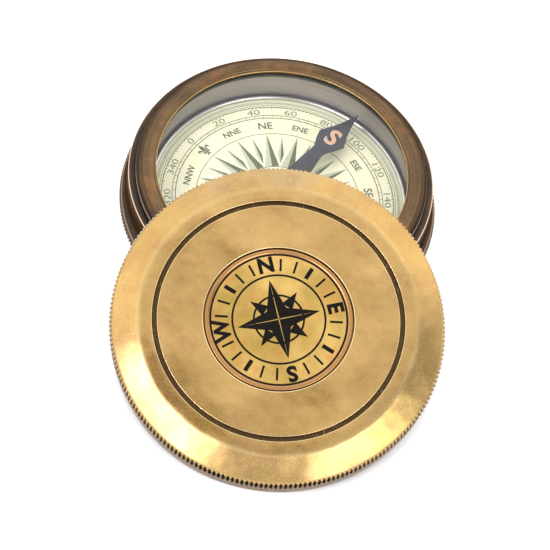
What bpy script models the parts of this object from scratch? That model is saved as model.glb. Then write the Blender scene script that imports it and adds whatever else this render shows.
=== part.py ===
"""Round brass pocket compass: a shallow case with a needle under glass, and its screw-on lid.

The lid is off and leans face-up on the front of the case. The origin is the centre of the
case's underside, +Z is up, and -Y is the front, where the lid lies. Lengths below are in
millimetres and are turned into metres where meshes and objects are made.
"""

from math import cos, pi, radians, sin

import bpy
from mathutils import Matrix, Vector

MM = 0.001

# Fit between neighbouring pieces
GAP = 0.3

# Smoothness of turned pieces, in steps round the axis
STEPS_LARGE = 80
STEPS_MEDIUM = 64
STEPS_SMALL = 28
MERGE_DISTANCE = 0.00001
SHARP_ANGLE = radians(32)

# Case
OUTER_RADIUS = 38.0
LIP_RADIUS = 37.4
LIP_HEIGHT = 1.0
KNURL_HEIGHT = 2.1
WAIST_RADIUS = 36.25
WAIST_FOOT_HEIGHT = 6.4
LEDGE_HEIGHT = 11.6
NECK_RADIUS = 34.2
THREAD_DEPTH = 0.35
THREAD_PITCH = 0.7
THREAD_TURNS = 2
NECK_TOP = 13.2
BORE_RADIUS = 32.35
FLOOR_THICKNESS = 1.0
EDGE = 0.3

# Bezel ring, its inner retainer and the glass
BEZEL_UNDERSIDE = NECK_TOP + GAP
BEZEL_CROWN = 14.5
BEZEL_EDGE_TOP = 14.15
SKIRT_THICKNESS = 0.5
SKIRT_BOTTOM = 11.1
RETAINER_INNER_RADIUS = 29.7
RETAINER_OUTER_RADIUS = 30.4
GLASS_RADIUS = 31.2
GLASS_THICKNESS = 1.0
GASKET_INNER_RADIUS = 30.6
GASKET_THICKNESS = 0.8

# Dial, and the rings that hold it
SLEEVE_INNER_RADIUS = 31.3
SLEEVE_OUTER_RADIUS = 32.0
PLATE_RADIUS = 31.0
PLATE_TOP = 1.8
CARD_RADIUS = 30.9
CARD_THICKNESS = 0.3
CARD_TOP = PLATE_TOP + GAP + CARD_THICKNESS
DIAL_RING_INNER_RADIUS = 30.1
DIAL_RING_OUTER_RADIUS = 31.0
DIAL_RING_HEIGHT = 0.9

# Pivot: stud, washer and steel point
STUD_HOLE_RADIUS = 1.5
STUD_HOLE_BOTTOM = 0.5
STUD_RADIUS = 1.2
WASHER_THICKNESS = 0.4
WASHER_RADIUS = 3.4
FLANGE_RADIUS = 3.0
FLANGE_THICKNESS = 0.6
STUD_TOP_RADIUS = 1.6
STUD_TOP = 6.9
PIN_RADIUS = 0.5
PIN_SHOULDER = 7.1
PIN_TIP = 7.9

# Needle
NEEDLE_BEARING = 35.0
NEEDLE_REACH = 29.6
NEEDLE_SHOULDER_REACH = 19.3
NEEDLE_SHOULDER_HALF_WIDTH = 3.8
NEEDLE_ARM_REACH = 14.6
NEEDLE_ARM_HALF_WIDTH = 1.7
NEEDLE_HUB_RADIUS = 3.6
BLADE_BOTTOM = 7.8
BLADE_THICKNESS = 0.4
CAP_BOTTOM = 7.2
CAP_TOP = 9.7
CAP_BODY_RADIUS = 1.7
CAP_FLANGE_RADIUS = 2.7
CAP_FLANGE_THICKNESS = 0.4
CAP_BORE_RADIUS = 1.3
CAP_BORE_TOP = 9.1
JEWEL_RADIUS = 1.0
JEWEL_CUP_DEPTH = 0.4

# Lid, in its own frame: its rim is at height 0 and its face at LID_HEIGHT
LID_HEIGHT = 8.0
LID_LIP_RADIUS = 37.6
LID_LIP_HEIGHT = 3.2
LID_EDGE_RADIUS = 37.55
LID_FLAT_RADIUS = 31.4
LID_BEVEL_DROP = 2.6
LID_BEVEL_CROWN = 0.25
LID_BORE_RADIUS = 34.9
LID_CEILING = 5.7
GROOVE_INNER_RADIUS = 27.15
GROOVE_OUTER_RADIUS = 28.3
GROOVE_DEPTH = 0.7
RECESS_RADIUS = 16.9
RECESS_DEPTH = 1.1
MEDALLION_THICKNESS = 0.5
MEDALLION_RAISED_RIM = 0.15

# How the lid leans: its tilt, its turn about its own axis and where its rim centre is
LID_TILT = 14.7
LID_TURN = 20.0
LID_CENTRE_X = 3.2
LID_CENTRE_Y = -42.4
TABLE_CLEARANCE = 0.02

PARTS = "pocket_compass"


def clear_scene():
    for thing in list(bpy.data.objects):
        bpy.data.objects.remove(thing, do_unlink=True)


def new_collection(name):
    collection = bpy.data.collections.new(name)
    bpy.context.scene.collection.children.link(collection)
    return collection


def material(name, colour, roughness, metallic, alpha=1.0):
    """A Principled material with one colour."""
    made = bpy.data.materials.new(name)
    made.use_nodes = True
    shader = made.node_tree.nodes["Principled BSDF"]
    shader.inputs["Base Color"].default_value = (*colour, 1.0)
    shader.inputs["Roughness"].default_value = roughness
    shader.inputs["Metallic"].default_value = metallic
    shader.inputs["Alpha"].default_value = alpha
    made.diffuse_color = (*colour, alpha)
    return made


def turned(name, profile, steps, finish, closed=True):
    """Turn a profile of (radius, height) points about Z.

    A closed profile is a ring's section. An open one starts and ends on the axis. Either way
    the points run down the outer side.
    """
    outline = bpy.data.meshes.new(name + "_profile")
    points = [(radius * MM, 0.0, height * MM) for radius, height in profile]
    edges = [(i, i + 1) for i in range(len(points) - 1)]
    if closed:
        edges.append((len(points) - 1, 0))
    outline.from_pydata(points, edges, [])
    made = bpy.data.objects.new(name, outline)
    PART_COLLECTION.objects.link(made)
    screw = made.modifiers.new("Turn", 'SCREW')
    screw.axis = 'Z'
    screw.steps = steps
    screw.render_steps = steps
    screw.use_merge_vertices = True
    screw.merge_threshold = MERGE_DISTANCE
    evaluated = made.evaluated_get(bpy.context.evaluated_depsgraph_get())
    solid = bpy.data.meshes.new_from_object(evaluated)
    made.modifiers.clear()
    made.data = solid
    bpy.data.meshes.remove(outline)
    solid.name = name
    solid.materials.append(finish)
    solid.shade_smooth()
    solid.set_sharp_from_angle(angle=SHARP_ANGLE)
    return made


def ring(inner, outer, bottom, top):
    """The square section of a plain ring."""
    return [(inner, top), (outer, top), (outer, bottom), (inner, bottom)]


def arc(centre, radius, start, end, count):
    """Points on an arc; angles in degrees, anticlockwise from +radius."""
    points = []
    for i in range(count + 1):
        angle = radians(start + (end - start) * i / count)
        points.append((centre[0] + radius * cos(angle), centre[1] + radius * sin(angle)))
    return points


def thread(root, depth, top, turns, pitch):
    """Crests of a thread, running down from top: annular ridges of one pitch each."""
    points = []
    for i in range(turns):
        points.append((root, top - pitch * i))
        points.append((root + depth, top - pitch * (i + 0.5)))
    points.append((root, top - pitch * turns))
    return points


def make_case(finish):
    knurl_top = LIP_HEIGHT + KNURL_HEIGHT
    fillet = WAIST_FOOT_HEIGHT - knurl_top
    inside = [
        (0.0, STUD_HOLE_BOTTOM),
        (STUD_HOLE_RADIUS, STUD_HOLE_BOTTOM),
        (STUD_HOLE_RADIUS, FLOOR_THICKNESS),
        (BORE_RADIUS, FLOOR_THICKNESS),
        (BORE_RADIUS, NECK_TOP),
    ]
    neck = thread(NECK_RADIUS, THREAD_DEPTH, NECK_TOP, THREAD_TURNS, THREAD_PITCH)
    ledge = [
        (NECK_RADIUS, LEDGE_HEIGHT),
        (WAIST_RADIUS - EDGE, LEDGE_HEIGHT),
        (WAIST_RADIUS, LEDGE_HEIGHT - EDGE),
    ]
    foot_curve = [
        (WAIST_RADIUS, WAIST_FOOT_HEIGHT),
        (WAIST_RADIUS + 0.12 * fillet, knurl_top + 0.55 * fillet),
        (WAIST_RADIUS + 0.35 * fillet, knurl_top + 0.15 * fillet),
        (OUTER_RADIUS - EDGE, knurl_top + EDGE),
    ]
    flange = [
        (OUTER_RADIUS, knurl_top),
        (OUTER_RADIUS, LIP_HEIGHT + EDGE),
        (LIP_RADIUS, LIP_HEIGHT),
        (LIP_RADIUS, EDGE),
        (LIP_RADIUS - EDGE, 0.0),
        (0.0, 0.0),
    ]
    profile = inside + neck + ledge + foot_curve + flange
    turned("case_body", profile, STEPS_LARGE, finish, closed=False)


def make_bezel(finish):
    skirt_outer = BORE_RADIUS - GAP
    skirt_inner = skirt_outer - SKIRT_THICKNESS
    opening = RETAINER_OUTER_RADIUS + GAP
    middle = (opening + NECK_RADIUS) / 2
    profile = [
        (opening, BEZEL_EDGE_TOP),
        (middle, BEZEL_CROWN),
        (NECK_RADIUS - EDGE, BEZEL_EDGE_TOP + EDGE / 2),
        (NECK_RADIUS, BEZEL_EDGE_TOP - EDGE),
        (NECK_RADIUS, BEZEL_UNDERSIDE),
        (skirt_outer, BEZEL_UNDERSIDE),
        (skirt_outer, SKIRT_BOTTOM),
        (skirt_inner, SKIRT_BOTTOM),
        (skirt_inner, BEZEL_UNDERSIDE),
        (opening, BEZEL_UNDERSIDE),
    ]
    turned("bezel_ring", profile, STEPS_LARGE, finish)


def make_glazing(finishes):
    """The gold retainer, the glass and the gasket under it."""
    retainer = ring(RETAINER_INNER_RADIUS, RETAINER_OUTER_RADIUS, BEZEL_UNDERSIDE, BEZEL_EDGE_TOP)
    turned("glass_retainer", retainer, STEPS_MEDIUM, finishes["gold_brass"])
    glass_top = BEZEL_UNDERSIDE - GAP
    glass_bottom = glass_top - GLASS_THICKNESS
    disc = [
        (0.0, glass_top),
        (GLASS_RADIUS, glass_top),
        (GLASS_RADIUS, glass_bottom),
        (0.0, glass_bottom),
    ]
    turned("glass", disc, STEPS_MEDIUM, finishes["glass"], closed=False)
    gasket_top = glass_bottom - GAP
    gasket = ring(GASKET_INNER_RADIUS, GLASS_RADIUS, gasket_top - GASKET_THICKNESS, gasket_top)
    turned("glass_gasket", gasket, STEPS_MEDIUM, finishes["rubber"])


def make_dial(finishes):
    """Backing plate, card, the ring on the card's edge and the silver sleeve round them."""
    plate = ring(STUD_HOLE_RADIUS, PLATE_RADIUS, FLOOR_THICKNESS + GAP, PLATE_TOP)
    turned("dial_plate", plate, STEPS_MEDIUM, finishes["plain_brass"])
    card = ring(STUD_HOLE_RADIUS, CARD_RADIUS, CARD_TOP - CARD_THICKNESS, CARD_TOP)
    turned("dial_card", card, STEPS_MEDIUM, finishes["card"])
    ring_bottom = CARD_TOP + GAP
    retaining = [
        (DIAL_RING_INNER_RADIUS, ring_bottom + DIAL_RING_HEIGHT * 0.6),
        (DIAL_RING_INNER_RADIUS + EDGE, ring_bottom + DIAL_RING_HEIGHT),
        (DIAL_RING_OUTER_RADIUS, ring_bottom + DIAL_RING_HEIGHT),
        (DIAL_RING_OUTER_RADIUS, ring_bottom),
        (DIAL_RING_INNER_RADIUS, ring_bottom),
    ]
    turned("dial_ring", retaining, STEPS_MEDIUM, finishes["silver"])
    sleeve = ring(SLEEVE_INNER_RADIUS, SLEEVE_OUTER_RADIUS, FLOOR_THICKNESS + GAP, SKIRT_BOTTOM - GAP)
    turned("inner_sleeve", sleeve, STEPS_MEDIUM, finishes["silver"])


def make_pivot(finishes):
    """Washer, stud and steel point, all on the axis."""
    washer_bottom = CARD_TOP + GAP
    washer_top = washer_bottom + WASHER_THICKNESS
    washer = ring(STUD_HOLE_RADIUS, WASHER_RADIUS, washer_bottom, washer_top)
    turned("pivot_washer", washer, STEPS_SMALL, finishes["plain_brass"])
    flange_bottom = washer_top + GAP
    flange_top = flange_bottom + FLANGE_THICKNESS
    hole_bottom = flange_bottom + GAP
    stud = [
        (0.0, hole_bottom),
        (PIN_RADIUS + GAP, hole_bottom),
        (PIN_RADIUS + GAP, STUD_TOP),
        (STUD_TOP_RADIUS - EDGE, STUD_TOP),
        (STUD_TOP_RADIUS, STUD_TOP - EDGE),
        (STUD_TOP_RADIUS, flange_top),
        (FLANGE_RADIUS, flange_top),
        (FLANGE_RADIUS, flange_bottom),
        (STUD_RADIUS, flange_bottom),
        (STUD_RADIUS, STUD_HOLE_BOTTOM + GAP),
        (0.0, STUD_HOLE_BOTTOM + GAP),
    ]
    turned("pivot_post", stud, STEPS_SMALL, finishes["plain_brass"], closed=False)
    pin_bottom = hole_bottom + GAP
    pin = [(0.0, PIN_TIP), (PIN_RADIUS, PIN_SHOULDER), (PIN_RADIUS, pin_bottom), (0.0, pin_bottom)]
    turned("pivot_pin", pin, STEPS_SMALL, finishes["steel"], closed=False)


def needle_outline():
    """Half of one needle arm and its mirror: (sideways, outward) points from the hub to the tip."""
    hub_side = NEEDLE_HUB_RADIUS * sin(radians(45))
    side = [
        (hub_side, hub_side),
        (NEEDLE_ARM_HALF_WIDTH, NEEDLE_HUB_RADIUS + NEEDLE_ARM_HALF_WIDTH),
        (NEEDLE_ARM_HALF_WIDTH, NEEDLE_ARM_REACH),
        (NEEDLE_SHOULDER_HALF_WIDTH * 0.8, NEEDLE_SHOULDER_REACH - 2.0),
        (NEEDLE_SHOULDER_HALF_WIDTH, NEEDLE_SHOULDER_REACH),
        (NEEDLE_SHOULDER_HALF_WIDTH * 0.62, NEEDLE_SHOULDER_REACH + 3.0),
        (NEEDLE_SHOULDER_HALF_WIDTH * 0.36, NEEDLE_SHOULDER_REACH + 5.5),
    ]
    tip = [(0.0, NEEDLE_REACH)]
    mirrored = [(-sideways, outward) for sideways, outward in reversed(side)]
    return side + tip + mirrored


def add_closed_spline(curve, points):
    spline = curve.splines.new('POLY')
    spline.points.add(len(points) - 1)
    for point, (x, y) in zip(spline.points, points):
        point.co = (x * MM, y * MM, 0.0, 1.0)
    spline.use_cyclic_u = True


def make_needle(finishes):
    """Blade, hub cap and jewel, which turn together on the point."""
    axis = bpy.data.objects.new("needle_axis", None)
    PART_COLLECTION.objects.link(axis)
    axis.rotation_euler = (0.0, 0.0, -radians(NEEDLE_BEARING))

    outline = bpy.data.curves.new("needle_blade", 'CURVE')
    outline.dimensions = '2D'
    outline.fill_mode = 'BOTH'
    outline.extrude = BLADE_THICKNESS / 2 * MM
    arm = needle_outline()
    opposite_arm = [(-x, -y) for x, y in arm]
    add_closed_spline(outline, arm + opposite_arm)
    add_closed_spline(outline, arc((0.0, 0.0), CAP_BODY_RADIUS + GAP, 0, 360 - 15, 23))
    blade = bpy.data.objects.new("needle_blade", outline)
    PART_COLLECTION.objects.link(blade)
    blade.data.materials.append(finishes["blued_steel"])
    blade.location.z = (BLADE_BOTTOM + BLADE_THICKNESS / 2) * MM

    flange_bottom = BLADE_BOTTOM + BLADE_THICKNESS + GAP
    cap_profile = [
        (0.0, CAP_TOP),
        (CAP_BODY_RADIUS * 0.7, CAP_TOP - EDGE),
        (CAP_BODY_RADIUS, flange_bottom + CAP_FLANGE_THICKNESS),
        (CAP_FLANGE_RADIUS, flange_bottom + CAP_FLANGE_THICKNESS),
        (CAP_FLANGE_RADIUS, flange_bottom),
        (CAP_BODY_RADIUS, flange_bottom),
        (CAP_BODY_RADIUS, CAP_BOTTOM),
        (CAP_BORE_RADIUS, CAP_BOTTOM),
        (CAP_BORE_RADIUS, CAP_BORE_TOP),
        (0.0, CAP_BORE_TOP),
    ]
    cap = turned("needle_cap", cap_profile, STEPS_SMALL, finishes["gold_brass"], closed=False)

    cup_top = PIN_TIP + GAP
    jewel_bottom = cup_top - JEWEL_CUP_DEPTH
    jewel_profile = [
        (0.0, CAP_BORE_TOP - GAP),
        (JEWEL_RADIUS, CAP_BORE_TOP - GAP),
        (JEWEL_RADIUS, jewel_bottom),
        (JEWEL_RADIUS * 0.75, jewel_bottom),
        (0.0, cup_top),
    ]
    jewel = turned("cap_jewel", jewel_profile, STEPS_SMALL, finishes["jewel"], closed=False)
    for piece in (blade, cap, jewel):
        piece.parent = axis


def make_lid(finishes):
    """Lid shell and medallion, placed by an empty at the centre of the lid's rim."""
    bevel_foot = LID_HEIGHT - LID_BEVEL_DROP
    bevel_middle_radius = (LID_FLAT_RADIUS + LID_EDGE_RADIUS) / 2
    bevel_middle = LID_HEIGHT - LID_BEVEL_DROP / 2 + LID_BEVEL_CROWN
    recess_floor = LID_HEIGHT - RECESS_DEPTH
    face = [
        (0.0, recess_floor),
        (RECESS_RADIUS, recess_floor),
        (RECESS_RADIUS, LID_HEIGHT),
        (GROOVE_INNER_RADIUS, LID_HEIGHT),
        (GROOVE_INNER_RADIUS, LID_HEIGHT - GROOVE_DEPTH),
        (GROOVE_OUTER_RADIUS, LID_HEIGHT - GROOVE_DEPTH),
        (GROOVE_OUTER_RADIUS, LID_HEIGHT),
        (LID_FLAT_RADIUS, LID_HEIGHT),
        (bevel_middle_radius, bevel_middle),
        (LID_EDGE_RADIUS - EDGE, bevel_foot + EDGE / 2),
    ]
    side = [
        (LID_EDGE_RADIUS, bevel_foot),
        (OUTER_RADIUS, LID_LIP_HEIGHT + EDGE),
        (LID_LIP_RADIUS, LID_LIP_HEIGHT),
        (LID_LIP_RADIUS, 0.0),
    ]
    bore = [(LID_BORE_RADIUS, 0.0)]
    for i in range(THREAD_TURNS):
        crest = THREAD_PITCH * (i + 1)
        bore.append((LID_BORE_RADIUS, crest - THREAD_PITCH / 2))
        bore.append((LID_BORE_RADIUS - THREAD_DEPTH, crest))
    bore.append((LID_BORE_RADIUS, THREAD_PITCH * (THREAD_TURNS + 0.5)))
    inside = [(LID_BORE_RADIUS, LID_CEILING), (0.0, LID_CEILING)]
    profile = face + side + bore + inside
    shell = turned("lid_shell", profile, STEPS_LARGE, finishes["lid_brass"], closed=False)

    bottom = recess_floor + GAP
    top = bottom + MEDALLION_THICKNESS
    edge_radius = RECESS_RADIUS - GAP
    disc = [
        (0.0, top),
        (edge_radius - 2 * EDGE, top),
        (edge_radius - EDGE, top + MEDALLION_RAISED_RIM),
        (edge_radius, top),
        (edge_radius, bottom),
        (0.0, bottom),
    ]
    medallion = turned("lid_medallion", disc, STEPS_LARGE, finishes["gold_brass"], closed=False)

    axis = bpy.data.objects.new("lid_axis", None)
    PART_COLLECTION.objects.link(axis)
    tilt = radians(LID_TILT)
    centre = Vector((LID_CENTRE_X, LID_CENTRE_Y, LID_LIP_RADIUS * sin(tilt) + TABLE_CLEARANCE))
    lean = Matrix.Rotation(tilt, 4, 'X') @ Matrix.Rotation(radians(LID_TURN), 4, 'Z')
    axis.matrix_world = Matrix.Translation(centre * MM) @ lean
    shell.parent = axis
    medallion.parent = axis


clear_scene()
PART_COLLECTION = new_collection(PARTS)

FINISHES = {
    "case_brass": material("aged brass", (0.16, 0.105, 0.06), 0.38, 1.0),
    "bezel_brass": material("brown brass", (0.22, 0.14, 0.085), 0.35, 1.0),
    "lid_brass": material("tan brass", (0.62, 0.40, 0.17), 0.32, 1.0),
    "gold_brass": material("polished brass", (0.72, 0.48, 0.18), 0.22, 1.0),
    "plain_brass": material("plain brass", (0.55, 0.38, 0.16), 0.4, 1.0),
    "silver": material("silvered wall", (0.42, 0.42, 0.40), 0.3, 1.0),
    "steel": material("hardened steel", (0.55, 0.55, 0.57), 0.25, 1.0),
    "blued_steel": material("dark blued steel", (0.05, 0.055, 0.075), 0.35, 0.6),
    "card": material("pale dial card", (0.80, 0.83, 0.60), 0.7, 0.0),
    "rubber": material("dark gasket", (0.03, 0.03, 0.03), 0.8, 0.0),
    "jewel": material("red jewel", (0.45, 0.03, 0.04), 0.1, 0.0),
    "glass": material("clear glass", (0.9, 0.95, 0.93), 0.03, 0.0, alpha=0.2),
}

make_case(FINISHES["case_brass"])
make_bezel(FINISHES["bezel_brass"])
make_glazing(FINISHES)
make_dial(FINISHES)
make_pivot(FINISHES)
make_needle(FINISHES)
make_lid(FINISHES)
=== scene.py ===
"""Looks of a round brass pocket compass whose screw-on lid leans on the front of its case.

The turned pieces are made again with fine edges, knurls and finishes, in the places and sizes
that the CAD frame gives. Lengths are in millimetres until a mesh or an object is made. A bearing
is in degrees, clockwise from +Y.
"""

from math import cos, pi, radians, sin, tan

import bmesh
import bpy
from mathutils import Matrix, Vector


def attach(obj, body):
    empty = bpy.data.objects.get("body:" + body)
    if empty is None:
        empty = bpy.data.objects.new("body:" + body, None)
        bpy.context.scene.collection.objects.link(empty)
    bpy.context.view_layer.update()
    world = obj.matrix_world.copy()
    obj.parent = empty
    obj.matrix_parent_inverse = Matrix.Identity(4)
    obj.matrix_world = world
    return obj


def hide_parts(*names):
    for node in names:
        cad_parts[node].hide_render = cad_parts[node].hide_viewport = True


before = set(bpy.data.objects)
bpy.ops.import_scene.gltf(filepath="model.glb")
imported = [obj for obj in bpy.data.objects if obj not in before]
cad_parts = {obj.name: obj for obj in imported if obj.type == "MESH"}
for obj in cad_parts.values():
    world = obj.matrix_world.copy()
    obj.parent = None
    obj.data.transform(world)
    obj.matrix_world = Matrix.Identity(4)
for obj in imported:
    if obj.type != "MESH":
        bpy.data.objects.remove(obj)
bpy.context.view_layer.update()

MM = 0.001

# Turned pieces: steps round the axis, and the radius below which a point is on it
TURN_STEPS = 240
SMALL_TURN_STEPS = 96
ON_AXIS = 1e-6

# A rounded corner: the points of its curve, and the most of an edge that the curve takes up.
# Where an edge is longer than GUARD_ROOM roundings, a clean point GUARD_REACH roundings from the
# corner ends the wear.
CURVE_POINTS = 5
CURVE_SHARE = 0.45
GUARD_ROOM = 3.0
GUARD_REACH = 1.6

# Points of curves and words closer than this, in metres, are made one
WORD_WELD = 1e-7
BLADE_WELD = 1e-6

# The case, as the CAD has it: radii, and heights above the table
GAP = 0.3
OUTER = 38.0
KNURL_DEPTH = 0.8
KNURL_RUNOUT = 0.2
KNURL_TEETH = 220
KNURL_DIRT = 1.7  # in the bottom of a groove; over 1, so that it reaches up the groove's sides
LIP = 37.4
CASE_LIP_TOP = 1.0
CASE_KNURL_TOP = 3.1
WAIST = 36.25
LEDGE = 11.6
NECK = 34.2
THREAD_DEPTH = 0.35
THREAD_PITCH = 0.7
NECK_TOP = 13.2
BORE = 32.35
FLOOR = 1.0
STUD_HOLE = 1.5
STUD_HOLE_FLOOR = 0.5
BEZEL_UNDERSIDE = NECK_TOP + GAP
BEZEL_EDGE = 14.15
BEZEL_CROWN = 14.5
BEZEL_INNER = 30.45
SKIRT_BOTTOM = 11.1
SKIRT_THICKNESS = 0.5
RETAINER_INNER = 29.7
RETAINER_OUTER = 30.4
GLASS_RADIUS = 31.2
GLASS_TOP = NECK_TOP
GLASS_BOTTOM = NECK_TOP - 1.0
SLEEVE_INNER = 31.3
SLEEVE_OUTER = 32.0
SLEEVE_TOP = SKIRT_BOTTOM - GAP
DIAL_RING_INNER = 30.1
DIAL_RING_OUTER = 31.0
DIAL_RING_STEPS = 24
CARD_RADIUS = 30.9
CARD_HOLE = 1.5
CARD_TOP = 2.4
CARD_THICKNESS = 0.3

# The needle
NEEDLE_BEARING = 35.0
NEEDLE_REACH = 29.6
BLADE_BOTTOM = 7.8
BLADE_THICKNESS = 0.4
BLADE_EDGE = 0.06
BLADE_HOLE = 2.0
BLADE_HOLE_STEPS = 48
NEEDLE_LETTER_RADIUS = 19.5
NEEDLE_LETTER_SIZE = 6.6
CAP_TOP = 9.7
CAP_FLANGE = 2.7
CAP_FLANGE_TOP = 8.9
CAP_FLANGE_BOTTOM = 8.5
CAP_NECK = 1.7
CAP_BOTTOM = 7.2
CAP_BORE = 1.3
CAP_BORE_TOP = 9.1

# The lid, in its own frame, and how it leans
LID_HEIGHT = 8.0
LID_LIP = 37.6
LID_LIP_TOP = 3.2
LID_EDGE = 37.55
LID_FLAT = 31.4
LID_BEVEL_FOOT = 5.4
LID_BORE = 34.9
LID_THREAD_TOP = 2.5
LID_CEILING = 5.7
GROOVE_INNER = 27.15
GROOVE_OUTER = 28.3
GROOVE_DEPTH = 0.7
GROOVE_DIRT = 0.97
RECESS = 16.9
RECESS_FLOOR = 6.9
MEDALLION = 16.6
MEDALLION_TOP = 7.7
MEDALLION_RIM = 15.85
MEDALLION_RIM_HEIGHT = 0.15
LID_TILT = 14.7
LID_TURN = 20.0
LID_CENTRE = (3.2, -42.4, LID_LIP * sin(radians(LID_TILT)) + 0.02)

# Print on the dial, whose north has this bearing
DIAL_NORTH = -58.8
INK_THICKNESS = 0.03
INK_GAP = 0.01
DIAL_PRINT = CARD_TOP + INK_GAP
DIAL_CIRCLES = (
    # name, radius, line width, ink
    ("rim", 29.3, 0.75, "grey"),
    ("rim_line", 28.55, 0.12, "dark"),
    ("tick", 28.05, 0.2, "dark"),
    ("band", 25.45, 0.16, "dark"),
    ("band_inner", 24.65, 0.2, "dark"),
    ("rose", 19.75, 0.16, "dark"),
    ("rose_inner", 9.6, 0.16, "dark"),
)
TICK_OUTER = 28.0
TICK_INNER = 27.7
LONG_TICK_INNER = 27.45
TICK_WIDTH = 0.16
BAND_TICK_INNER = 24.75
BAND_TICK_OUTER = 25.4
BAND_TICK_WIDTH = 0.1
FIGURE_RADIUS = 26.5
FIGURE_SIZE = 2.25
FIGURE_WIDENING = 1.5
POINT_NAMES = (
    "NNE", "NE", "ENE", "E", "ESE", "SE", "SSE", "S", "SSW", "SW", "WSW", "W", "WNW", "NW", "NNW",
)
POINT_NAME_RADIUS = 22.1
POINT_NAME_SIZES = {1: 3.4, 2: 2.9, 3: 2.3}
FLEUR_RADIUS = 22.3
ROSE_POINTS = 32
# A rose point: radii of its foot, its widest place and its tip, and half its width
ROSE_LONG_POINT = (9.7, 9.7, 19.6, 1.75)
ROSE_SHORT_POINT = (10.6, 13.4, 19.0, 0.75)

# Enamel on the medallion
ENAMEL_BOTTOM = MEDALLION_TOP + INK_GAP
ENAMEL_RINGS = (("outer", 15.3), ("inner", 10.4), ("rose", 5.6))
ENAMEL_RING_WIDTH = 0.45
ENAMEL_LETTER_RADIUS = 12.85
ENAMEL_LETTER_SIZE = 4.9
MARK_INNER = 11.4
MARK_OUTER = 14.3
MARK_WIDTH = 0.5
WIDE_MARK_WIDTH = 0.95
STAR_TIP = 9.4
STAR_WAIST = 3.2
STAR_SPLIT = 0.14
STAR_SHORT_FOOT = 3.5
STAR_SHORT_SHOULDER = 3.9
STAR_SHORT_TIP = 7.6
STAR_SHORT_SPREAD = 20.0

# The studio
WHITE = (1.0, 1.0, 1.0)
COOL_WHITE = (0.92, 1.0, 1.4)
SOFT_WHITE = (0.95, 0.94, 1.04)
GREENISH_WHITE = (0.88, 1.0, 0.85)
FLOOR_SIZE = 4000.0
FLOOR_DROP = 0.02
ROOM_LOW = (1.42, 1.42, 1.44)
ROOM_HIGH = (1.4, 1.4, 1.4)
ROOM_PLACES = (
    # azimuth, elevation, angle out to which it is full, angle where it ends, change of colour
    (62, 76, 4, 33, (-0.55, -0.55, -0.55)),
    (158, 82, 2, 16, (0.45, 0.43, 0.4)),
    (-58, 79, 2, 13, (-1.0, -1.1, -1.35)),
    (1, 46, 3, 13, (-0.95, -0.95, -0.95)),
    (90, 43, 6, 24, (-0.85, -0.85, -0.85)),
    (-112, 43, 6, 24, (0.35, 0.3, 0.1)),
    (144, 39, 6, 24, (0.45, 0.38, 0.2)),
    (180, 27, 12, 20, (0.0, 0.15, 0.65)),
)
LIGHT_DISTANCE = 600.0
LIGHT_AIM = (3.2, -42.4, 12.0)
SOFTBOXES = (
    # name, azimuth, elevation, width and height in degrees, brightness, colour
    ("left", -62.0, 46.0, 20.0, 28.0, 2.6, SOFT_WHITE),
    ("left_core", -65.0, 47.0, 7.0, 10.0, 10.0, COOL_WHITE),
    ("front_left", -38.0, 46.0, 24.0, 28.0, 2.6, SOFT_WHITE),
    ("front_left_core", -37.0, 45.0, 8.0, 7.0, 13.0, COOL_WHITE),
    ("front_right", 36.0, 45.0, 24.0, 26.0, 2.8, SOFT_WHITE),
    ("right", 58.0, 44.0, 16.0, 24.0, 2.8, GREENISH_WHITE),
)
OVERHEAD = ("overhead", 0.0, 86.0, 40.0, 40.0, 5.6, WHITE)


# ---------------------------------------------------------------- node trees

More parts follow.
